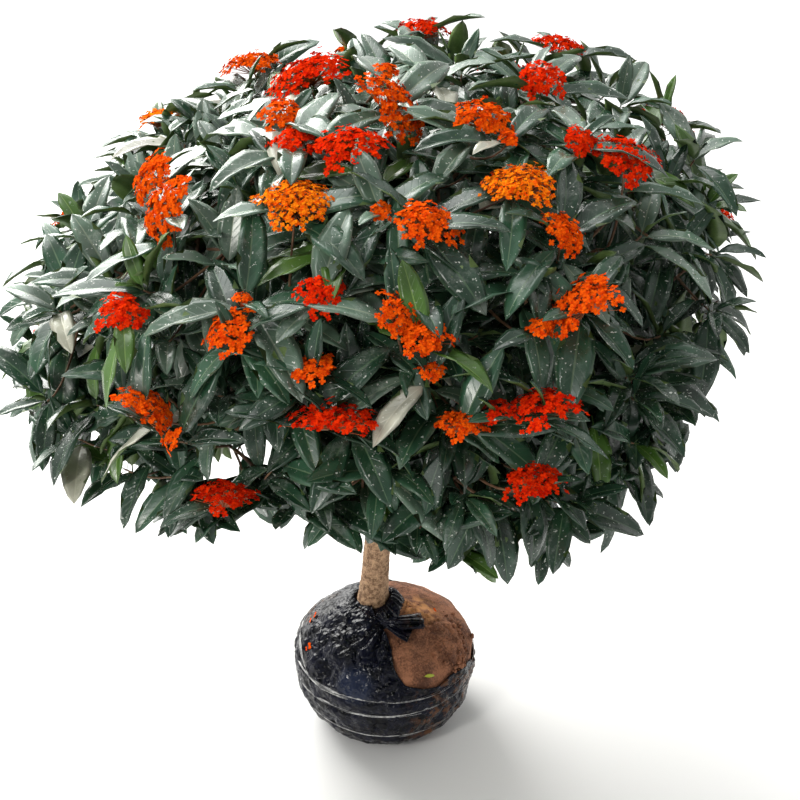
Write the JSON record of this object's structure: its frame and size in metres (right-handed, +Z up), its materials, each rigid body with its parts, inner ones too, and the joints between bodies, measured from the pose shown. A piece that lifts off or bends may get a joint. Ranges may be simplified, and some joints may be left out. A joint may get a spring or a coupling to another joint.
{
  "type": "sweet osmanthus sapling on a wrapped root ball",
  "caption": "Young sweet osmanthus tree with a broad leafy dome, heads of orange and red blossom, a short leaning trunk and a root ball in black film.",
  "frame": {"origin": "centre of the root ball's flat underside, which is the point of the underside mount", "axes": "+Z up along the trunk; +X towards the crown's higher shoulder and the bare soil; -Y towards the side where the black film is bunched"},
  "size_m": [1.1903, 1.131, 1.2476],
  "materials": {
    "soil": "rough",
    "black_film": "glossy, creased",
    "clear_band": "glossy",
    "bark": "rough",
    "foliage": "satin"
  },
  "bodies": {
    "root": {"binding_band_high": "clear_band", "binding_band_low": "clear_band", "binding_band_middle": "clear_band", "bough_low_1": "bark", "bough_low_2": "bark", "bough_low_3": "bark", "bough_low_4": "bark", "bough_low_5": "bark", "bough_low_6": "bark", "bough_low_7": "bark", "bough_low_8": "bark", "bough_side_1": "bark", "bough_side_2": "bark", "bough_side_3": "bark", "bough_side_4": "bark", "bough_side_5": "bark", "bough_side_6": "bark", "bough_side_7": "bark", "bough_side_8": "bark", "bough_top_1": "bark", "bough_top_2": "bark", "bough_top_3": "bark", "bough_top_4": "bark", "film_gather": "black_film", "film_sack": "black_film", "foliage_crest": "foliage", "foliage_low_1": "foliage", "foliage_low_2": "foliage", "foliage_low_3": "foliage", "foliage_low_4": "foliage", "foliage_low_5": "foliage", "foliage_low_6": "foliage", "foliage_low_7": "foliage", "foliage_low_8": "foliage", "foliage_side_1": "foliage", "foliage_side_2": "foliage", "foliage_side_3": "foliage", "foliage_side_4": "foliage", "foliage_side_5": "foliage", "foliage_side_6": "foliage", "foliage_side_7": "foliage", "foliage_side_8": "foliage", "foliage_top_1": "foliage", "foliage_top_2": "foliage", "foliage_top_3": "foliage", "foliage_top_4": "foliage", "leader": "bark", "soil_ball": "soil", "trunk": "bark"}
  },
  "joints": []
}
